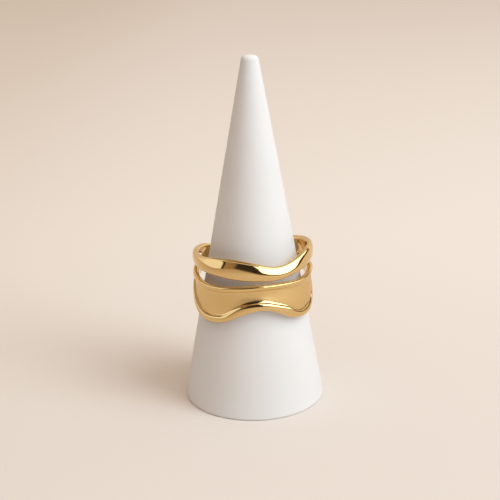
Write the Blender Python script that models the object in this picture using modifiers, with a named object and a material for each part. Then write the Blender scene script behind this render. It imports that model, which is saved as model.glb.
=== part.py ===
"""A wide finger ring of two joined wavy bands, standing on a plain cone ring stand.

The ring is one casting. Its two bands run round the front with a slot between
them and grow together into a single shank at the back. Front is -Y, +X is the
right hand side seen from the front, and the floor is at z = 0.
"""

from collections import namedtuple
from math import acos, cos, radians, sin, tan

import bmesh
import bpy
from mathutils import Vector

MM = 0.001

# Driving dimensions of the stand
STAND_BASE_RADIUS = 12.0 * MM
STAND_TIP_RADIUS = 1.32 * MM
STAND_HEIGHT = 58.9 * MM
STAND_TIP_ROUNDING = 0.9 * MM
STAND_FOOT_ROUNDING = 0.3 * MM
STAND_SIDES = 64

# Driving dimensions of the ring
RING_INNER_RADIUS = 9.35 * MM
RING_HEIGHT = 11.7 * MM
RIM_WALL = 0.8 * MM
PANEL_WALL = 0.5 * MM
TOP_RIM_HEIGHT = 1.0 * MM
SEAT_GAP = 0.3 * MM

# Columns round the ring before its cage is smoothed, and the two that close the slot
RING_COLUMNS = 48
SLOT_LEFT_AZIMUTH = -120.0
SLOT_RIGHT_AZIMUTH = 127.5
SHANK_BLEND_DEGREES = 40.0

# What is left of each band's wall at the sides and back, which are slimmer than the front
UPPER_SIDE_SHARE = 0.80
LOWER_SIDE_SHARE = 0.93

# Heights of the ring's edges, as shares of RING_HEIGHT above its lowest edge.
# Azimuth is in degrees from the front, positive to the right. Behind the slot's
# two ends slot_top and slot_floor are one seam.
Edges = namedtuple("Edges", "azimuth band_top slot_top slot_floor flare bottom")
EDGE_TABLE = (
    Edges(-150, 0.845, 0.680, 0.680, 0.530, 0.440),
    Edges(-120, 0.845, 0.700, 0.700, 0.540, 0.445),
    Edges(-108, 0.870, 0.755, 0.645, 0.510, 0.420),
    Edges(-95, 0.885, 0.740, 0.615, 0.440, 0.325),
    Edges(-80, 0.895, 0.730, 0.590, 0.280, 0.145),
    Edges(-65, 0.910, 0.730, 0.580, 0.170, 0.040),
    Edges(-50, 0.940, 0.740, 0.575, 0.120, 0.000),
    Edges(-35, 0.970, 0.735, 0.590, 0.155, 0.025),
    Edges(-20, 0.985, 0.720, 0.615, 0.275, 0.115),
    Edges(-5, 0.960, 0.705, 0.635, 0.375, 0.220),
    Edges(10, 0.905, 0.695, 0.650, 0.380, 0.260),
    Edges(25, 0.865, 0.695, 0.645, 0.340, 0.185),
    Edges(40, 0.895, 0.720, 0.630, 0.235, 0.075),
    Edges(55, 0.965, 0.740, 0.610, 0.135, 0.030),
    Edges(70, 1.000, 0.750, 0.625, 0.155, 0.045),
    Edges(85, 1.000, 0.745, 0.660, 0.280, 0.145),
    Edges(100, 0.975, 0.720, 0.640, 0.440, 0.325),
    Edges(115, 0.950, 0.685, 0.610, 0.520, 0.430),
    Edges(127.5, 0.920, 0.645, 0.645, 0.540, 0.450),
    Edges(150, 0.875, 0.655, 0.655, 0.530, 0.445),
)

# One row of the ring's cage: how far it stands out, as a share of RIM_WALL, and
# its height as a share of the way between two edges. The last two columns give
# the same in the plain shank, whose heights run from the bottom to band_top.
Row = namedtuple("Row", "wall low high share shank_wall shank_share")
PANEL = PANEL_WALL / RIM_WALL
UPPER_ROWS = (
    Row(0.00, "slot_top", "band_top", 0.14, 0.00, 0.56),
    Row(0.50, "slot_top", "band_top", -0.03, 0.50, 0.56),
    Row(1.05, "slot_top", "band_top", 0.08, 1.08, 0.56),
    Row(1.38, "slot_top", "band_top", 0.34, 1.12, 0.68),
    Row(1.30, "slot_top", "band_top", 0.60, 1.05, 0.82),
    Row(0.95, "slot_top", "band_top", 0.86, 0.90, 0.94),
    Row(0.45, "slot_top", "band_top", 1.03, 0.45, 1.02),
    Row(0.00, "slot_top", "band_top", 0.90, 0.00, 0.94),
)
LOWER_ROWS = (
    Row(0.00, "rim_foot", "slot_floor", 0.70, 0.00, 0.56),
    Row(0.50, "rim_foot", "slot_floor", 1.06, 0.50, 0.56),
    Row(1.02, "rim_foot", "slot_floor", 0.86, 1.08, 0.56),
    Row(1.05, "rim_foot", "slot_floor", 0.34, 1.12, 0.48),
    Row(PANEL, "rim_foot", "slot_floor", -0.06, 1.12, 0.42),
    Row(PANEL, "flare", "rim_foot", 0.84, 1.12, 0.36),
    Row(PANEL, "flare", "rim_foot", 0.48, 1.12, 0.30),
    Row(PANEL, "flare", "rim_foot", 0.12, 1.10, 0.24),
    Row(PANEL + 0.10, "bottom", "flare", 1.00, 1.08, 0.18),
    Row(1.05, "bottom", "flare", 0.74, 1.02, 0.13),
    Row(1.22, "bottom", "flare", 0.42, 0.95, 0.08),
    Row(1.08, "bottom", "flare", 0.08, 0.80, 0.02),
    Row(0.52, "bottom", "flare", -0.05, 0.45, -0.02),
    Row(0.00, "bottom", "flare", 0.36, 0.00, 0.06),
    Row(0.00, "bottom", "flare", 1.00, 0.00, 0.24),
)
INNER_FOOT, MIDDLE, OUTER_FOOT = 0, 1, 2


def height_where_ring_sits():
    """The height at which the ring's bore comes within SEAT_GAP of the flank."""
    taper = (STAND_BASE_RADIUS - STAND_TIP_RADIUS) / STAND_HEIGHT
    return (STAND_BASE_RADIUS + SEAT_GAP - RING_INNER_RADIUS) / taper


def smooth_step(share):
    share = min(max(share, 0.0), 1.0)
    return share * share * (3.0 - 2.0 * share)


def table_value(name, azimuth):
    """A smooth reading of one column of EDGE_TABLE, closed round the ring."""
    rows = EDGE_TABLE
    turn = 360.0
    azimuth = (azimuth - rows[0].azimuth) % turn + rows[0].azimuth
    after = next((i for i, row in enumerate(rows) if row.azimuth > azimuth), len(rows))

    def knot(i):
        laps, i = divmod(i, len(rows))
        return rows[i].azimuth + turn * laps, getattr(rows[i], name)

    (x0, y0), (x1, y1), (x2, y2), (x3, y3) = (knot(after + step) for step in (-2, -1, 0, 1))
    span = x2 - x1
    t = (azimuth - x1) / span
    slope_in = (y2 - y0) / (x2 - x0) * span
    slope_out = (y3 - y1) / (x3 - x1) * span
    return (
        (2 * t**3 - 3 * t**2 + 1) * y1
        + (t**3 - 2 * t**2 + t) * slope_in
        + (3 * t**2 - 2 * t**3) * y2
        + (t**3 - t**2) * slope_out
    )


def edge_heights(azimuth):
    """Heights of the named edges above the ring's lowest edge."""
    heights = {name: table_value(name, azimuth) * RING_HEIGHT for name in Edges._fields[1:]}
    heights["rim_foot"] = heights["slot_floor"] - TOP_RIM_HEIGHT
    return heights


def in_slot(azimuth):
    return SLOT_LEFT_AZIMUTH <= azimuth <= SLOT_RIGHT_AZIMUTH


def shank_share(azimuth):
    """0 along the open bands, rising to 1 where the shank is plain."""
    if azimuth < 0.0:
        past_the_end = SLOT_LEFT_AZIMUTH + 0.5 * SHANK_BLEND_DEGREES - azimuth
    else:
        past_the_end = azimuth - SLOT_RIGHT_AZIMUTH + 0.5 * SHANK_BLEND_DEGREES
    return smooth_step(past_the_end / SHANK_BLEND_DEGREES)


def section(rows, side_share, azimuth, ring_bottom):
    """The points of one band's cage at an azimuth."""
    edges = edge_heights(azimuth)
    blend = shank_share(azimuth)
    front = max(cos(radians(azimuth)), 0.0) ** 2
    fullness = side_share + (1.0 - side_share) * front
    sideways = sin(radians(azimuth))
    forwards = -cos(radians(azimuth))
    points = []
    for row in rows:
        open_height = edges[row.low] + row.share * (edges[row.high] - edges[row.low])
        shank_height = edges["bottom"] + row.shank_share * (edges["band_top"] - edges["bottom"])
        height = open_height + blend * (shank_height - open_height)
        open_wall = row.wall * fullness
        wall = (open_wall + blend * (row.shank_wall - open_wall)) * RIM_WALL
        radius = RING_INNER_RADIUS + wall
        points.append(Vector((radius * sideways, radius * forwards, ring_bottom + height)))
    return points


def make_ring():
    """Loft both bands round the finger and leave out the slot's walls behind it."""
    lowest_bore_row = LOWER_ROWS[-2]
    lowest = min(EDGE_TABLE, key=lambda edges: edges.bottom)
    bore_rise = lowest_bore_row.share * (lowest.flare - lowest.bottom) * RING_HEIGHT
    ring_bottom = height_where_ring_sits() - bore_rise

    mesh = bmesh.new()
    azimuths = [360.0 * i / RING_COLUMNS - 180.0 for i in range(RING_COLUMNS)]
    upper_columns = []
    lower_columns = []
    for azimuth in azimuths:
        upper = section(UPPER_ROWS, UPPER_SIDE_SHARE, azimuth, ring_bottom)
        lower = section(LOWER_ROWS, LOWER_SIDE_SHARE, azimuth, ring_bottom)
        open_here = SLOT_LEFT_AZIMUTH < azimuth < SLOT_RIGHT_AZIMUTH
        upper_verts = []
        lower_verts = []
        for i, point in enumerate(upper):
            shared = i in (INNER_FOOT, MIDDLE, OUTER_FOOT) and not open_here
            place = (point + lower[i]) / 2 if shared else point
            left_out = i == MIDDLE and not in_slot(azimuth)
            upper_verts.append(None if left_out else mesh.verts.new(place))
        for i, point in enumerate(lower):
            shared = i in (INNER_FOOT, MIDDLE, OUTER_FOOT) and not open_here
            lower_verts.append(upper_verts[i] if shared else mesh.verts.new(point))
        upper_columns.append(upper_verts)
        lower_columns.append(lower_verts)

    for columns in (upper_columns, lower_columns):
        rows = len(columns[0])
        for i in range(RING_COLUMNS):
            here = columns[i]
            beyond = columns[(i + 1) % RING_COLUMNS]
            for j in range(rows):
                k = (j + 1) % rows
                corners = (here[j], beyond[j], beyond[k], here[k])
                slot_wall = MIDDLE in (j, k)
                if slot_wall and None in (here[MIDDLE], beyond[MIDDLE]):
                    continue
                mesh.faces.new(corners)
    bmesh.ops.recalc_face_normals(mesh, faces=mesh.faces)

    ring = add_mesh_object("double_band", mesh)
    smoothing = ring.modifiers.new("Smoothing", "SUBSURF")
    smoothing.levels = 1
    smoothing.render_levels = 1
    return ring


def rounded_corner(before, corner, after, radius, steps):
    """Points of an arc that rounds a corner of a profile in the XZ plane."""
    to_before = (before - corner).normalized()
    to_after = (after - corner).normalized()
    half_angle = acos(max(-1.0, min(1.0, to_before.dot(to_after)))) / 2
    centre = corner + (to_before + to_after).normalized() * (radius / sin(half_angle))
    start = (corner + to_before * (radius / tan(half_angle)) - centre).normalized()
    end = (corner + to_after * (radius / tan(half_angle)) - centre).normalized()
    return [centre + radius * start.slerp(end, i / steps) for i in range(steps + 1)]


def make_stand():
    """Turn the cone from a profile that runs down its outer side."""
    top = Vector((0.0, 0.0, STAND_HEIGHT))
    shoulder = Vector((STAND_TIP_RADIUS, 0.0, STAND_HEIGHT))
    foot = Vector((STAND_BASE_RADIUS, 0.0, 0.0))
    centre = Vector((0.0, 0.0, 0.0))
    profile = [top]
    profile += rounded_corner(top, shoulder, foot, STAND_TIP_ROUNDING, 5)
    profile += rounded_corner(shoulder, foot, centre, STAND_FOOT_ROUNDING, 3)
    profile.append(centre)

    mesh = bmesh.new()
    verts = [mesh.verts.new(point) for point in profile]
    for above, below in zip(verts, verts[1:]):
        mesh.edges.new((above, below))

    stand = add_mesh_object("cone_stand", mesh)
    turn = stand.modifiers.new("Turn", "SCREW")
    turn.axis = "Z"
    turn.angle = radians(360.0)
    turn.steps = STAND_SIDES
    turn.render_steps = STAND_SIDES
    turn.use_merge_vertices = True
    turn.merge_threshold = 0.00001
    return stand


def add_mesh_object(name, mesh):
    data = bpy.data.meshes.new(name)
    mesh.to_mesh(data)
    mesh.free()
    data.shade_smooth()
    piece = bpy.data.objects.new(name, data)
    bpy.data.collections["double band ring"].objects.link(piece)
    return piece


def give_material(piece, name, colour, metallic, roughness):
    material = bpy.data.materials.new(name)
    material.use_nodes = True
    shader = material.node_tree.nodes["Principled BSDF"]
    shader.inputs["Base Color"].default_value = (*colour, 1.0)
    shader.inputs["Metallic"].default_value = metallic
    shader.inputs["Roughness"].default_value = roughness
    piece.data.materials.append(material)


def main():
    for leftover in list(bpy.data.objects):
        bpy.data.objects.remove(leftover)
    collection = bpy.data.collections.new("double band ring")
    bpy.context.scene.collection.children.link(collection)
    give_material(make_ring(), "polished gold", (0.80, 0.56, 0.25), 1.0, 0.12)
    give_material(make_stand(), "matt white", (0.86, 0.84, 0.82), 0.0, 0.6)


main()
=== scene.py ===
from math import cos, pi, radians, sin, tan

import bmesh
import bpy
from mathutils import Matrix, Vector


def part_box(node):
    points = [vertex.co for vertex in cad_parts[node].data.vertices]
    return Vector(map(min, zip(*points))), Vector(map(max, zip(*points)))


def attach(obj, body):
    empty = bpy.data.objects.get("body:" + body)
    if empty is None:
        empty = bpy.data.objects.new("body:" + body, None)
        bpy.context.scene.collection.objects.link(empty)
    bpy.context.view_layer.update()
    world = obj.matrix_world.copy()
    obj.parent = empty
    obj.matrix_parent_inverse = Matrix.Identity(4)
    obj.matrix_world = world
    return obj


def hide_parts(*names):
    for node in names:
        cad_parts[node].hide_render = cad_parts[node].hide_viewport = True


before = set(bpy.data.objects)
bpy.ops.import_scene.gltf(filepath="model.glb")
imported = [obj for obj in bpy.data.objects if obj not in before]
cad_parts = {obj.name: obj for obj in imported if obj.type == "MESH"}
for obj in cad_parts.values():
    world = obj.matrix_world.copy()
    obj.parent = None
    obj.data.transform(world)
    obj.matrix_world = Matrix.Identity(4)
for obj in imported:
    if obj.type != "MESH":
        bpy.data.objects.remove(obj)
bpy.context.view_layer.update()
mm = 0.001


# Node trees from Python sums: a Sig is a socket, and maths on it adds the nodes
class Sig:
    def __init__(self, net, socket):
        self.net = net
        self.socket = socket

    def maths(self, operation, *others, **settings):
        return self.net.maths(operation, self, *others, **settings)

    def __add__(self, other):
        return self.maths("ADD", other)

    def __radd__(self, other):
        return self.maths("ADD", other)

    def __sub__(self, other):
        return self.maths("SUBTRACT", other)

    def __rsub__(self, other):
        return self.net.maths("SUBTRACT", other, self)

    def __mul__(self, other):
        return self.maths("MULTIPLY", other)

    def __rmul__(self, other):
        return self.maths("MULTIPLY", other)

    def __truediv__(self, other):
        return self.maths("DIVIDE", other)

    def __rtruediv__(self, other):
        return self.net.maths("DIVIDE", other, self)

    def __lt__(self, other):
        return self.maths("LESS_THAN", other)

    def __gt__(self, other):
        return self.maths("GREATER_THAN", other)

    def clamped(self):
        return self.maths("ADD", 0.0, use_clamp=True)

    def ramp(self, low, high):  # 0 below low, 1 above high, smooth between
        inputs = {"Value": self, "From Min": low, "From Max": high}
        return self.net.node("ShaderNodeMapRange", {"interpolation_type": "SMOOTHSTEP"}, inputs)

    def out(self, name):  # another output of the node that this one comes from
        return Sig(self.net, self.socket.node.outputs[name])


class Net:
    def __init__(self, tree):
        self.tree = tree
        tree.nodes.clear()

    def node(self, kind, settings=None, inputs=None, out=0):
        made = self.tree.nodes.new(kind)
        for key, value in (settings or {}).items():
            if key == "stops":
                fillRamp(made.color_ramp, value)
            elif key == "points":
                fillCurve(made.mapping, value)
            elif key == "choices":
                while len(made.index_switch_items) < value:
                    made.index_switch_items.new()
            else:
                setattr(made, key, value)
        for key, value in (inputs or {}).items():
            socket = made.inputs[key]
            if isinstance(value, Sig):
                self.tree.links.new(value.socket, socket)
            else:
                socket.default_value = value
        return Sig(self, made.outputs[out]) if len(made.outputs) else made

    def maths(self, operation, *values, **settings):
        settings["operation"] = operation
        return self.node("ShaderNodeMath", settings, dict(enumerate(values)))

    def mixColours(self, share, first, second, blend="MIX"):
        settings = {"data_type": "RGBA", "blend_type": blend}
        inputs = {0: share, 6: asColour(first), 7: asColour(second)}  # 6 and 7 are the colour sockets
        return self.node("ShaderNodeMix", settings, inputs, out=2)


def asColour(value):  # a plain colour gets its alpha, a Sig stays as it is
    return value if isinstance(value, Sig) else (*value, 1.0)


def fillRamp(ramp, stops):
    while len(ramp.elements) < len(stops):
        ramp.elements.new(0.5)
    for element, (place, colour) in zip(ramp.elements, stops):
        element.position = place
        element.color = asColour(colour)


def fillCurve(mapping, points):
    curve = mapping.curves[0]
    while len(curve.points) < len(points):
        curve.points.new(0.5, 0.5)
    for point, place in zip(curve.points, points):
        point.location = place
    mapping.update()


def newMaterial(name):
    material = bpy.data.materials.new(name)
    material.use_nodes = True
    return material, Net(material.node_tree)


def addPiece(name, mesh):
    piece = bpy.data.objects.new(name, mesh)
    bpy.context.scene.collection.objects.link(piece)
    return piece


def applied(piece):  # the evaluated shape as a plain mesh, with the modifiers gone
    depsgraph = bpy.context.evaluated_depsgraph_get()
    mesh = bpy.data.meshes.new_from_object(
        piece.evaluated_get(depsgraph), preserve_all_data_layers=True, depsgraph=depsgraph)
    piece.modifiers.clear()
    piece.data = mesh
    return mesh


# Camera
cameraPlace = {
    "fieldOfView": radians(25.0),
    "elevation": radians(17.73),
    "distance": 189.5 * mm,
    "aimHeight": 29.45 * mm,
    "roll": radians(-0.87),
    "aimPixel": (252.3, 230.1),  # where the aim falls in the picture
    "pictureSize": 500.0,
    "nearest": 10 * mm,
}


def placeCamera(place):
    data = bpy.data.cameras.new("camera")
    data.angle = place["fieldOfView"]
    data.clip_start = place["nearest"]
    half = place["pictureSize"] / 2
    data.shift_x = (half - place["aimPixel"][0]) / place["pictureSize"]
    data.shift_y = (place["aimPixel"][1] - half) / place["pictureSize"]
    camera = addPiece("camera", data)
    outwards = Vector((0.0, -cos(place["elevation"]), sin(place["elevation"])))
    camera.location = Vector((0.0, 0.0, place["aimHeight"])) + outwards * place["distance"]
    turn = (-outwards).to_track_quat("-Z", "Y").to_matrix() @ Matrix.Rotation(place["roll"], 3, "Z")
    camera.rotation_euler = turn.to_euler()
    bpy.context.scene.camera = camera


placeCamera(cameraPlace)
print("camera placed")


# Gold: polished, with a satin panel that has faint upright streaks
goldFinish = {
    "colour": (0.755, 0.523, 0.226),
    "paleColour": (0.80, 0.58, 0.28),
    "paleShare": 0.5,
    "polishedRoughness": 0.07,
    "panelRoughness": 0.46,
    "roughnessSpread": 0.03,
    "cloudScale": 160.0,
    "cloudBetween": (0.35, 0.65),
    "fineScale": 2600.0,
    "fineShare": 0.1,
    "streakScale": 0.9,  # for each degree round the ring
    "streakHeight": 0.0025 * mm,
    "bumpStrength": 0.35,
}


def makeGold(finish):
    material, net = newMaterial("polishedGold")
    place = net.node("ShaderNodeTexCoord", out="Object")
    panel = net.node("ShaderNodeAttribute", {"attribute_name": "panel"}, out="Fac")
    azimuth = net.node("ShaderNodeAttribute", {"attribute_name": "azimuth"}, out="Fac")
    cloud = net.node("ShaderNodeTexNoise", {}, {
        "Vector": place, "Scale": finish["cloudScale"], "Detail": 3.0})
    fine = net.node("ShaderNodeTexNoise", {}, {
        "Vector": place, "Scale": finish["fineScale"], "Detail": 2.0})
    streaks = net.node("ShaderNodeTexNoise", {"noise_dimensions": "1D"}, {
        "W": azimuth * finish["streakScale"], "Scale": 1.0, "Detail": 4.0})
    pale = cloud.ramp(*finish["cloudBetween"]) * finish["paleShare"]
    satin = finish["panelRoughness"] - finish["polishedRoughness"]
    rough = finish["polishedRoughness"] + panel * satin + (cloud - 0.5) * finish["roughnessSpread"]
    bump = net.node("ShaderNodeBump", {}, {
        "Strength": finish["bumpStrength"], "Distance": finish["streakHeight"],
        "Height": streaks * panel + fine * finish["fineShare"]})
    shader = net.node("ShaderNodeBsdfPrincipled", {}, {
        "Base Color": net.mixColours(pale, finish["colour"], finish["paleColour"]),
        "Metallic": 1.0, "Roughness": rough, "Normal": bump})
    net.node("ShaderNodeOutputMaterial", {}, {"Surface": shader})
    return material


# The ring: two wavy bands lofted round the finger, joined in one shank behind the slot
ringSizes = {
    "Bore Radius": 9.35 * mm,
    "Height": 11.7 * mm,
    "Rim Wall": 0.8 * mm,
    "Top Rim Height": 1.1 * mm,
    "Slot Left": -120.0,      # the slot's ends and the blend beyond them, in degrees
    "Slot Right": 127.5,
    "Shank Blend": 40.0,
    "Upper Side Share": 0.80,  # what is left of each band's wall on the sides
    "Lower Side Share": 0.93,
}
ringCounts = {"Columns": 48, "Smoothing": 3}

# azimuth in degrees from the front: heights as shares of the ring's height
edgeNames = ("bandTop", "slotTop", "slotFloor", "flare", "bottom")
ringEdges = {
    -152: (0.738, 0.658, 0.658, 0.530, 0.440),
    -138: (0.758, 0.676, 0.676, 0.534, 0.442),
    -129: (0.802, 0.688, 0.688, 0.537, 0.444),
    -120: (0.844, 0.700, 0.700, 0.540, 0.445),
    -108: (0.862, 0.755, 0.645, 0.510, 0.420),
    -95: (0.885, 0.740, 0.615, 0.440, 0.325),
    -80: (0.895, 0.724, 0.584, 0.280, 0.145),
    -65: (0.910, 0.718, 0.568, 0.170, 0.040),
    -50: (0.940, 0.722, 0.559, 0.120, 0.000),
    -35: (0.970, 0.717, 0.572, 0.155, 0.025),
    -20: (0.985, 0.703, 0.597, 0.300, 0.115),
    -5: (0.960, 0.690, 0.617, 0.425, 0.220),
    10: (0.905, 0.681, 0.634, 0.435, 0.260),
    25: (0.865, 0.682, 0.631, 0.375, 0.185),
    40: (0.895, 0.710, 0.620, 0.250, 0.075),
    55: (0.965, 0.734, 0.606, 0.135, 0.030),
    70: (1.000, 0.750, 0.625, 0.155, 0.045),
    85: (1.000, 0.745, 0.660, 0.280, 0.145),
    100: (0.975, 0.720, 0.640, 0.440, 0.325),
    115: (0.950, 0.685, 0.610, 0.520, 0.430),
    127.5: (0.912, 0.645, 0.645, 0.540, 0.450),
    150: (0.850, 0.655, 0.655, 0.530, 0.445),
}

# The rows of each band's section, grouped by the two edges that they lie between. A row gives
# (wall, height) in four places round the ring: wall as a share of the rims' wall, height as a
# share of the way up from the lower edge, and in the shank from the ring's bottom to its top.
# The upper band's places are the front, the quarters, the sides and the shank
upperTable = {
    ("slotTop", "bandTop"): (
        ((0.00, 0.14), (0.00, 0.14), (0.00, 0.14), (0.00, 0.56)),
        ((0.50, -0.06), (0.50, -0.06), (0.50, -0.03), (0.50, 0.56)),
        ((1.05, 0.03), (1.08, 0.03), (1.05, 0.08), (1.08, 0.56)),
        ((1.37, 0.25), (1.41, 0.18), (1.38, 0.34), (1.12, 0.68)),
        ((1.24, 0.51), (1.36, 0.40), (1.38, 0.60), (1.14, 0.80)),
        ((1.03, 0.80), (1.09, 0.67), (1.28, 0.86), (1.06, 0.93)),
        ((0.86, 0.91), (0.83, 0.93), (0.90, 1.00), (0.76, 1.00)),
        ((0.86, 1.01), (0.76, 1.01), (0.20, 1.05), (0.20, 1.01)),  # the thin lip along the top
        ((0.45, 1.06), (0.22, 1.05), (-0.42, 0.93), (-0.36, 0.93)),
        ((0.00, 0.92), (0.00, 0.90), (-0.46, 0.62), (-0.34, 0.80)),
    ),
}
# The lower band's places are the front, the sides, its softer right end and the shank
lowerTable = {
    ("rimFoot", "slotFloor"): (
        ((-0.15, 0.80), (-0.35, 0.66), (-0.35, 0.66), (0.00, 0.56)),
        ((0.20, 1.02), (0.08, 1.01), (0.08, 1.01), (0.50, 0.56)),
        ((0.98, 1.00), (1.00, 0.99), (1.00, 0.99), (1.08, 0.56)),
        ((1.12, 0.66), (1.12, 0.66), (1.12, 0.66), (1.12, 0.50)),
        ((1.10, 0.26), (1.10, 0.24), (1.10, 0.24), (1.12, 0.46)),
        ((0.62, 0.06), (0.62, 0.06), (0.70, 0.06), (1.12, 0.42)),  # the crease under the rim
    ),
    ("flare", "rimFoot"): (
        ((0.58, 0.88), (0.62, 0.88), (0.72, 0.88), (1.12, 0.36)),
        ((0.53, 0.54), (0.60, 0.50), (0.74, 0.50), (1.12, 0.30)),
        ((0.54, 0.20), (0.60, 0.14), (0.78, 0.20), (1.10, 0.24)),
    ),
    ("bottom", "flare"): (
        ((0.59, 1.00), (0.60, 1.00), (0.82, 1.02), (1.08, 0.18)),
        ((0.74, 0.66), (0.57, 0.89), (0.86, 0.86), (1.06, 0.16)),  # the crease over the bottom rim
        ((0.99, 0.57), (1.09, 0.82), (1.02, 0.70), (1.04, 0.13)),
        ((1.11, 0.36), (1.22, 0.55), (1.12, 0.48), (0.98, 0.09)),
        ((1.22, 0.08), (1.23, 0.20), (1.15, 0.20), (0.88, 0.04)),
        ((1.04, -0.01), (1.02, 0.02), (1.00, 0.02), (0.74, 0.01)),
        ((0.52, -0.05), (0.52, -0.05), (0.52, -0.05), (0.45, -0.02)),
        ((0.00, 0.36), (0.00, 0.36), (0.00, 0.36), (0.00, 0.06)),
        ((0.00, 1.00), (0.00, 1.00), (0.00, 1.00), (0.00, 0.24)),
    ),
}
# degrees from the front over which one place gives way to the next, and on which sides
upperTurns = ((12.0, 42.0, "both"), (45.0, 68.0, "both"))
lowerTurns = ((18.0, 45.0, "both"), (66.0, 84.0, "right"))
# rows that keep a sharp line, and how sharp it is at the front and past the first turn
upperCreases = {6: (0.6, 0.6)}
lowerCreases = {5: (0.6, 0.6), 10: (0.0, 0.6)}
leastCrease = 0.45   # between its places a line weaker than this is smoothed away
sharedRows = 3       # the first rows of both bands meet in one seam behind the slot
panelRows = (6, 9)   # the lower band's satin rows, of which the last is half as satin
seamReach = 0.01 * mm


def edgeCurve(net, turnShare, name):  # an edge's height round the ring, as a share of the ring's
    column = edgeNames.index(name)
    points = [((azimuth + 180.0) / 360.0, heights[column]) for azimuth, heights in ringEdges.items()]
    backLeft, backRight = points[0], points[-1]
    share = backLeft[0] / (backLeft[0] + 1.0 - backRight[0])
    backHeight = backLeft[1] + share * (backRight[1] - backLeft[1])
    points = [(0.0, backHeight), *points, (1.0, backHeight)]
    return net.node("ShaderNodeFloatCurve", {"points": points}, {"Value": turnShare})


def listRows(table):
    return [(low, high, profiles) for (low, high), group in table.items() for profiles in group]


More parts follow.
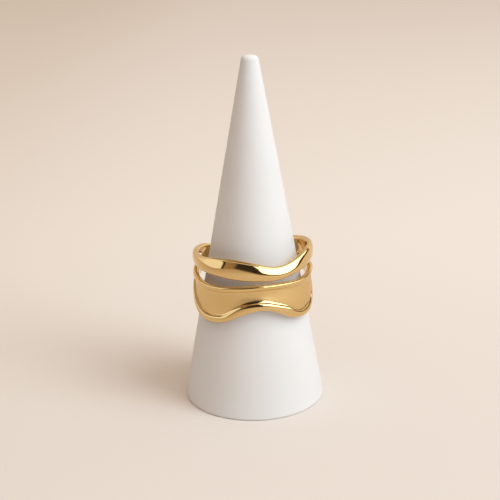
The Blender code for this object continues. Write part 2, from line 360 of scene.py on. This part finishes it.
def buildRingTree(gold):
    tree = bpy.data.node_groups.new("waveBands", "GeometryNodeTree")
    net = Net(tree)
    for kind, values in (("NodeSocketFloat", ringSizes), ("NodeSocketInt", ringCounts)):
        for name, value in values.items():
            socket = tree.interface.new_socket(name, in_out="INPUT", socket_type=kind)
            socket.default_value = value
    tree.interface.new_socket("Geometry", in_out="OUTPUT", socket_type="NodeSocketGeometry")
    sizes = net.node("NodeGroupInput", out="Bore Radius")

    def attribute(name):
        return net.node("GeometryNodeInputNamedAttribute", {"data_type": "FLOAT"}, {"Name": name})

    def stored(geometry, name, value):
        return net.node("GeometryNodeStoreNamedAttribute", {"data_type": "FLOAT", "domain": "POINT"}, {
            "Geometry": geometry, "Name": name, "Value": value})

    def pick(values):  # one of several numbers or fields, by the row's number
        inputs = {"Index": rowIndex}
        inputs.update({str(i): value for i, value in enumerate(values)})
        settings = {"data_type": "FLOAT", "choices": len(values)}
        return net.node("GeometryNodeIndexSwitch", settings, inputs)

    azimuth = attribute("azimuth")
    row = attribute("row")
    rowIndex = net.node("FunctionNodeFloatToInt", {"rounding_mode": "ROUND"}, {0: row})
    angle = azimuth * (pi / 180.0)
    turnShare = (azimuth + 180.0) / 360.0
    height = sizes.out("Height")
    edges = {name: edgeCurve(net, turnShare, name) * height for name in edgeNames}
    edges["rimFoot"] = edges["slotFloor"] - sizes.out("Top Rim Height")

    blend = sizes.out("Shank Blend")
    leftBlend = (sizes.out("Slot Left") + blend * 0.5 - azimuth) / blend
    rightBlend = (azimuth - sizes.out("Slot Right") + blend * 0.5) / blend
    shank = leftBlend.ramp(0.0, 1.0) + rightBlend.ramp(0.0, 1.0)
    bandsApart = 1.0 - shank.clamped()
    facing = angle.maths("COSINE").maths("MAXIMUM", 0.0)
    front = facing * facing

    def turned(start, end, sides):  # 0 before the turn, 1 after it
        measured = azimuth if sides == "right" else azimuth.maths("ABSOLUTE")
        return measured.ramp(start, end)

    def section(rows, sideShare, turns):  # radius and height of each row at each azimuth
        low, high, profiles = zip(*rows)
        lowEdge = pick([edges[name] for name in low])
        highEdge = pick([edges[name] for name in high])
        places = [
            [pick([pair[kind] for pair in place]) for kind in (0, 1)] for place in zip(*profiles)]
        (wall, part), *onwards, (shankWall, shankPart) = places
        for (nextWall, nextPart), turn in zip(onwards, turns):
            aside = turned(*turn)
            wall = wall + aside * (nextWall - wall)
            part = part + aside * (nextPart - part)
        openWall = wall * (sideShare + (1.0 - sideShare) * front)
        openHeight = lowEdge + part * (highEdge - lowEdge)
        shankHeight = edges["bottom"] + shankPart * (edges["bandTop"] - edges["bottom"])
        wallHere = openWall + shank * (shankWall - openWall)
        radius = sizes.out("Bore Radius") + wallHere * sizes.out("Rim Wall")
        return radius, openHeight + shank * (shankHeight - openHeight)

    upperRows, lowerRows = listRows(upperTable), listRows(lowerTable)
    # pad the shorter table, whose extra rows are never asked for
    spare = upperRows + upperRows[-1:] * (len(lowerRows) - len(upperRows))
    upper = section(spare, sizes.out("Upper Side Share"), upperTurns)
    lower = section(lowerRows, sizes.out("Lower Side Share"), lowerTurns)

    # at the slot's ends and behind them the shared rows go half way to each other
    tiny = 0.01  # degrees
    closed = (azimuth < sizes.out("Slot Left") + tiny) + (azimuth > sizes.out("Slot Right") - tiny)
    shared = closed * (row < sharedRows - 0.5) * 0.5

    def band(rows, own, other, creases, turn):
        count = len(rows)
        grid = net.node("GeometryNodeMeshGrid", {}, {
            "Size X": 360.0, "Size Y": float(count),
            "Vertices X": sizes.out("Columns") + 1.0, "Vertices Y": count + 1})
        flat = net.node("GeometryNodeTransform", {}, {
            "Geometry": grid, "Translation": (0.0, count / 2, 0.0)})
        here = net.node("ShaderNodeSeparateXYZ", {}, {0: net.node("GeometryNodeInputPosition")})
        across, along = here.out("X"), here.out("Y")
        flat = stored(flat, "azimuth", across)
        # the grid's last row is the first again; the quarter keeps rounding errors out of it
        flat = stored(flat, "row", (along + 0.25).maths("FLOOR").maths("MODULO", float(count)))
        atFront, atSides = (
            pick([creases.get(number, (0.0, 0.0))[place] for number in range(count)])
            for place in (0, 1))
        flat = stored(flat, "crease", atFront + turned(*turn) * (atSides - atFront))
        behind = (across < sizes.out("Slot Left")) + (across > sizes.out("Slot Right"))
        flat = net.node("GeometryNodeDeleteGeometry", {"domain": "FACE"}, {
            "Geometry": flat, "Selection": behind * (along < sharedRows - 1.0)})
        radius = own[0] + shared * (other[0] - own[0])
        level = own[1] + shared * (other[1] - own[1])
        place = net.node("ShaderNodeCombineXYZ", {}, {
            "X": radius * angle.maths("SINE"), "Y": radius * angle.maths("COSINE") * -1.0, "Z": level})
        return net.node("GeometryNodeSetPosition", {}, {"Geometry": flat, "Position": place})

    upperBand = band(upperRows, upper, lower, upperCreases, upperTurns[0])
    lowerBand = band(lowerRows, lower, upper, lowerCreases, lowerTurns[0])
    onPanel = (row > panelRows[0] - 0.5) * (panelRows[1] + 0.5 - row).clamped() * bandsApart
    upperBand = stored(upperBand, "panel", azimuth * 0.0)
    lowerBand = stored(lowerBand, "panel", onPanel)
    lowerBand = net.node("GeometryNodeFlipFaces", {}, {"Mesh": lowerBand})  # all faces point outwards
    both = net.node("GeometryNodeJoinGeometry")
    for part in (lowerBand, upperBand):
        tree.links.new(part.socket, both.socket.node.inputs[0])
    whole = net.node("GeometryNodeMergeByDistance", {}, {"Geometry": both, "Distance": seamReach})
    crease = attribute("crease")
    whole = net.node("GeometryNodeSubdivisionSurface", {}, {
        "Mesh": whole, "Level": sizes.out("Smoothing"),
        "Edge Crease": (crease > leastCrease) * crease * bandsApart})
    whole = net.node("GeometryNodeSetShadeSmooth", {}, {"Geometry": whole})
    whole = net.node("GeometryNodeRealizeInstances", {}, {"Geometry": whole})
    whole = net.node("GeometryNodeSetMaterial", {}, {"Geometry": whole, "Material": gold})
    net.node("NodeGroupOutput", {}, {"Geometry": whole})
    return tree


def makeRing():
    tree = buildRingTree(makeGold(goldFinish))
    ring = addPiece("doubleBand", bpy.data.meshes.new("doubleBand"))
    bands = ring.modifiers.new("bands", "NODES")
    bands.node_group = tree
    values = {**ringSizes, **ringCounts}
    for item in tree.interface.items_tree:
        if item.in_out == "INPUT":
            bands[item.identifier] = values[item.name]
    mesh = applied(ring)
    # stand it as high as the solid that it replaces
    lowest = min(vertex.co.z for vertex in mesh.vertices)
    mesh.transform(Matrix.Translation((0.0, 0.0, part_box("double_band")[0][2] - lowest)))
    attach(ring, "root")
    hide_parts("double_band")
    print("ring lofted:", len(mesh.polygons), "faces")


makeRing()


# The cone stand: a turned profile with a softened tip and foot
standSizes = {
    "baseRadius": 12.0 * mm,
    "tipRadius": 1.32 * mm,
    "height": 58.9 * mm,
    "tipRounding": 0.9 * mm,
    "footRounding": 0.3 * mm,
    "tipSteps": 12,
    "footSteps": 8,
    "sides": 160,
}
standFinish = {
    "colour": (0.86, 0.84, 0.828),
    "shadeColour": (0.84, 0.815, 0.80),
    "cloudScale": 60.0,
    "cloudBetween": (0.3, 0.7),
    "roughness": 0.6,
    "roughnessSpread": 0.08,
    "specular": 0.12,
    "grainScale": 2400.0,
    "grainHeight": 0.004 * mm,
    "bumpStrength": 0.5,
}


def makeStandMaterial(finish):
    material, net = newMaterial("mattWhite")
    place = net.node("ShaderNodeTexCoord", out="Object")
    cloud = net.node("ShaderNodeTexNoise", {}, {
        "Vector": place, "Scale": finish["cloudScale"], "Detail": 3.0})
    grain = net.node("ShaderNodeTexNoise", {}, {
        "Vector": place, "Scale": finish["grainScale"], "Detail": 2.0})
    shade = cloud.ramp(*finish["cloudBetween"])
    bump = net.node("ShaderNodeBump", {}, {
        "Strength": finish["bumpStrength"], "Distance": finish["grainHeight"], "Height": grain})
    shader = net.node("ShaderNodeBsdfPrincipled", {}, {
        "Base Color": net.mixColours(shade, finish["colour"], finish["shadeColour"]),
        "Roughness": finish["roughness"] + (cloud - 0.5) * finish["roughnessSpread"],
        "Specular IOR Level": finish["specular"], "Normal": bump})
    net.node("ShaderNodeOutputMaterial", {}, {"Surface": shader})
    return material


def roundedCorner(before, corner, after, radius, steps):
    toBefore = (before - corner).normalized()
    toAfter = (after - corner).normalized()
    halfAngle = toBefore.angle(toAfter) / 2
    centre = corner + (toBefore + toAfter).normalized() * (radius / sin(halfAngle))
    start = (corner + toBefore * (radius / tan(halfAngle)) - centre).normalized()
    end = (corner + toAfter * (radius / tan(halfAngle)) - centre).normalized()
    return [centre + radius * start.slerp(end, i / steps) for i in range(steps + 1)]


def makeStand(sizes):
    top = Vector((0.0, 0.0, sizes["height"]))
    shoulder = Vector((sizes["tipRadius"], 0.0, sizes["height"]))
    foot = Vector((sizes["baseRadius"], 0.0, 0.0))
    centre = Vector((0.0, 0.0, 0.0))
    profile = [
        top,
        *roundedCorner(top, shoulder, foot, sizes["tipRounding"], sizes["tipSteps"]),
        *roundedCorner(shoulder, foot, centre, sizes["footRounding"], sizes["footSteps"]),
        centre,
    ]
    shape = bmesh.new()
    verts = [shape.verts.new(point) for point in profile]
    edges = [shape.edges.new(pair) for pair in zip(verts, verts[1:])]
    bmesh.ops.spin(shape, geom=verts + edges, cent=centre, axis=(0, 0, 1), angle=2 * pi,
                   steps=sizes["sides"], use_merge=True, use_duplicate=False)
    bmesh.ops.remove_doubles(shape, verts=shape.verts, dist=0.001 * mm)
    bmesh.ops.recalc_face_normals(shape, faces=shape.faces)
    mesh = bpy.data.meshes.new("coneStand")
    shape.to_mesh(mesh)
    shape.free()
    mesh.shade_smooth()
    mesh.materials.append(makeStandMaterial(standFinish))
    stand = addPiece("coneStand", mesh)
    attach(stand, "root")
    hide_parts("cone_stand")
    print("stand turned:", len(mesh.polygons), "faces")


makeStand(standSizes)


# The floor, with lengths in metres
floorFinish = {
    "size": 4.0,
    "colour": (0.745, 0.685, 0.65),
    # painted light: the floor's colour is lighter towards the back
    "paintedFarLight": (0.825, 0.76, 0.718),
    "paintedLightBetween": (-0.03, 0.10),    # where the near colour gives way to the painted far light, front to back
    # painted shade: the floor's colour is darker towards the left, where the stand's shade falls
    "paintedLeftShade": (0.925, 0.90, 0.865),
    "paintedShadeBetween": (-0.13, -0.01),  # where the painted shade runs out, left to right
    "roughness": 0.9,
}


def makeFloor(finish):
    shape = bmesh.new()
    bmesh.ops.create_grid(shape, x_segments=4, y_segments=4, size=finish["size"] / 2)
    mesh = bpy.data.meshes.new("floor")
    shape.to_mesh(mesh)
    shape.free()
    material, net = newMaterial("paleFloor")
    place = net.node("ShaderNodeSeparateXYZ", {}, {0: net.node("ShaderNodeTexCoord", out="Object")})
    # painted light: the floor's colour gets brighter towards the back
    far = place.out("Y").ramp(*finish["paintedLightBetween"])
    # painted shade: the floor's colour darkens towards the left
    paintedShadeShare = 1.0 - place.out("X").ramp(*finish["paintedShadeBetween"])
    colour = net.mixColours(far, finish["colour"], finish["paintedFarLight"])
    colour = net.mixColours(paintedShadeShare, colour, finish["paintedLeftShade"], "MULTIPLY")
    shader = net.node("ShaderNodeBsdfPrincipled", {}, {
        "Base Color": colour, "Roughness": finish["roughness"], "Specular IOR Level": 0.0})
    net.node("ShaderNodeOutputMaterial", {}, {"Surface": shader})
    mesh.materials.append(material)
    floor = addPiece("floor", mesh)


# Lamps, which the gold doesn't mirror: azimuth from the front towards the right and elevation in
# degrees, distance and width in metres
lamps = {
    "high": {
        "azimuth": 65.0, "elevation": 55.0, "distance": 0.8, "width": 0.50,
        "watts": 2.38, "colour": (0.86, 1.0, 1.045)},
    "low": {
        "azimuth": 60.0, "elevation": 30.0, "distance": 0.8, "width": 0.45,
        "watts": 1.84, "colour": (0.86, 1.0, 1.045)},
}
lampAim = 20 * mm  # the height that they point at


def makeLamp(name, values):
    data = bpy.data.lights.new(name, "AREA")
    data.shape = "DISK"
    data.size = values["width"]
    data.energy = values["watts"]
    data.color = values["colour"]
    lamp = addPiece(name, data)
    azimuth, elevation = radians(values["azimuth"]), radians(values["elevation"])
    towards = Vector((sin(azimuth) * cos(elevation), -cos(azimuth) * cos(elevation), sin(elevation)))
    lamp.location = Vector((0.0, 0.0, lampAim)) + towards * values["distance"]
    lamp.rotation_euler = towards.to_track_quat("Z", "Y").to_euler()
    lamp.visible_glossy = False
    lamp.visible_camera = False


# What matt surfaces get from the front right and from overhead
softLight = {
    "frontRight": (0.36, 0.42, 0.6),
    "overhead": (1.16, 0.97, 0.78),
    "overheadFrom": 0.2,  # as the sine of the elevation
}
# What the polished gold sees round it: by azimuth in degrees from the front, towards the right
wallColours = (
    (-180, (0.72, 0.60, 0.47)),
    (-130, (0.85, 0.74, 0.62)),
    (-100, (1.12, 1.14, 1.18)),
    (-64, (1.12, 1.18, 1.26)),
    (-62.5, (0.03, 0.03, 0.03)),
    (-59, (0.03, 0.03, 0.03)),
    (-56, (0.42, 0.30, 0.20)),
    (-38, (0.35, 0.25, 0.16)),
    (-30, (0.05, 0.04, 0.035)),
    (18, (0.035, 0.03, 0.025)),
    (28, (0.06, 0.045, 0.03)),
    (104, (0.08, 0.06, 0.04)),
    (122, (0.30, 0.24, 0.17)),
    (130, (1.15, 1.05, 0.90)),
    (150, (0.95, 0.85, 0.70)),
    (180, (0.72, 0.60, 0.47)),
)
stripColours = (  # between the walls and the ceiling
    (-180, (0.34, 0.27, 0.19)),
    (-70, (0.14, 0.10, 0.07)),
    (-45, (0.20, 0.15, 0.10)),
    (-35, (0.62, 0.47, 0.30)),
    (12, (0.62, 0.47, 0.30)),
    (24, (0.22, 0.16, 0.10)),
    (116, (0.22, 0.17, 0.11)),
    (130, (0.95, 0.86, 0.70)),
    (155, (0.85, 0.76, 0.60)),
    (180, (0.34, 0.27, 0.19)),
)
ceilingColours = (
    (-180, (0.52, 0.44, 0.35)),
    (-120, (0.48, 0.40, 0.31)),
    (80, (0.50, 0.42, 0.32)),
    (120, (0.90, 0.80, 0.64)),
    (160, (0.85, 0.76, 0.61)),
    (180, (0.52, 0.44, 0.35)),
)
room = {
    "lean": 0.35,               # degrees of azimuth for each degree up
    "stripFrom": (32.0, 35.0),  # elevations over which the walls end and the strip starts
    "ceilingFrom": (44.0, 56.0),
}
# A softbox in front of the walls, in degrees of azimuth and elevation
softbox = {
    "radiance": (3.6, 3.7, 3.8),
    "dimRadiance": (2.2, 2.3, 2.6),  # at its right end
    "dimBetween": (0.35, 1.0),       # shares of its width
    "start": 27.0,
    "startLean": -0.60,              # degrees of azimuth for each degree up
    "streakScale": (0.03, 0.35),     # streaks that fray its left end, for each degree
    "streakReach": 30.0,
    "end": 118.0,
    "lower": 2.5,                    # its lower edge curves up towards the right end
    "lowerAtEnd": 12.0,
    "lowerPower": 3.0,
    "upper": 33.0,
    "upperAtEnd": 24.0,
    "startFade": (-1.5, 2.5),        # how softly each edge comes in
    "endFade": (0.0, 6.0),
    "lowerFade": (-0.5, 1.5),
    "upperFade": (-1.0, 3.0),
}


def makeSurroundings():
    world = bpy.data.worlds.new("studio")
    world.use_nodes = True
    net = Net(world.node_tree)
    direction = net.node("ShaderNodeTexCoord", out="Generated")
    towards = net.node("ShaderNodeSeparateXYZ", {}, {0: direction})
    x, y, z = (towards.out(axis) for axis in "XYZ")
    azimuth = x.maths("ARCTAN2", y * -1.0) * (180.0 / pi)
    elevation = z.maths("ARCSINE") * (180.0 / pi)
    turned = (azimuth - elevation * room["lean"] + 180.0) / 360.0

    def byAzimuth(colours):
        stops = [((degree + 180.0) / 360.0, colour) for degree, colour in colours]
        return net.node("ShaderNodeValToRGB", {"stops": stops}, {0: turned})

    walls, strip, ceiling = byAzimuth(wallColours), byAzimuth(stripColours), byAzimuth(ceilingColours)
    over = net.mixColours(elevation.ramp(*room["ceilingFrom"]), strip, ceiling)
    seen = net.mixColours(elevation.ramp(*room["stripFrom"]), walls, over)

    acrossScale, upScale = softbox["streakScale"]
    flat = net.node("ShaderNodeCombineXYZ", {}, {"X": azimuth * acrossScale, "Y": elevation * upScale})
    streak = net.node("ShaderNodeTexNoise", {"noise_dimensions": "2D"}, {
        "Vector": flat, "Scale": 1.0, "Detail": 3.0})
    along = ((azimuth - softbox["start"]) / (softbox["end"] - softbox["start"])).clamped()
    rise = along.maths("POWER", softbox["lowerPower"])
    lower = softbox["lower"] + rise * (softbox["lowerAtEnd"] - softbox["lower"])
    upper = softbox["upper"] + along * (softbox["upperAtEnd"] - softbox["upper"])
    fray = (streak - 0.5) * softbox["streakReach"]
    start = softbox["start"] + elevation * softbox["startLean"] + fray
    within = (azimuth - start).ramp(*softbox["startFade"])
    within = within * (softbox["end"] - azimuth).ramp(*softbox["endFade"])
    level = (elevation - lower).ramp(*softbox["lowerFade"])
    level = level * (upper - elevation).ramp(*softbox["upperFade"])
    dimming = along.ramp(*softbox["dimBetween"])
    glow = net.mixColours(dimming, softbox["radiance"], softbox["dimRadiance"])
    seen = net.mixColours(within * level, seen, glow)

    # light for matt surfaces: from left to right, then front to back, then up
    black = (0.0, 0.0, 0.0)
    inFront = net.mixColours(x.ramp(-1.0, 1.0), black, softLight["frontRight"])
    sideways = net.mixColours(y.ramp(-1.0, 1.0), inFront, black)
    upwards = z.ramp(softLight["overheadFrom"], 1.0)
    soft = net.mixColours(upwards, sideways, softLight["overhead"])
    glossy = net.node("ShaderNodeLightPath", out="Is Glossy Ray")
    colour = net.mixColours(glossy, soft, seen)
    light = net.node("ShaderNodeBackground", {}, {"Color": colour, "Strength": 1.0})
    net.node("ShaderNodeOutputWorld", {}, {"Surface": light})
    bpy.context.scene.world = world


makeFloor(floorFinish)
for lampName, lampValues in lamps.items():
    makeLamp(lampName, lampValues)
makeSurroundings()
bpy.context.scene.view_settings.view_transform = "Standard"
print("studio lit")
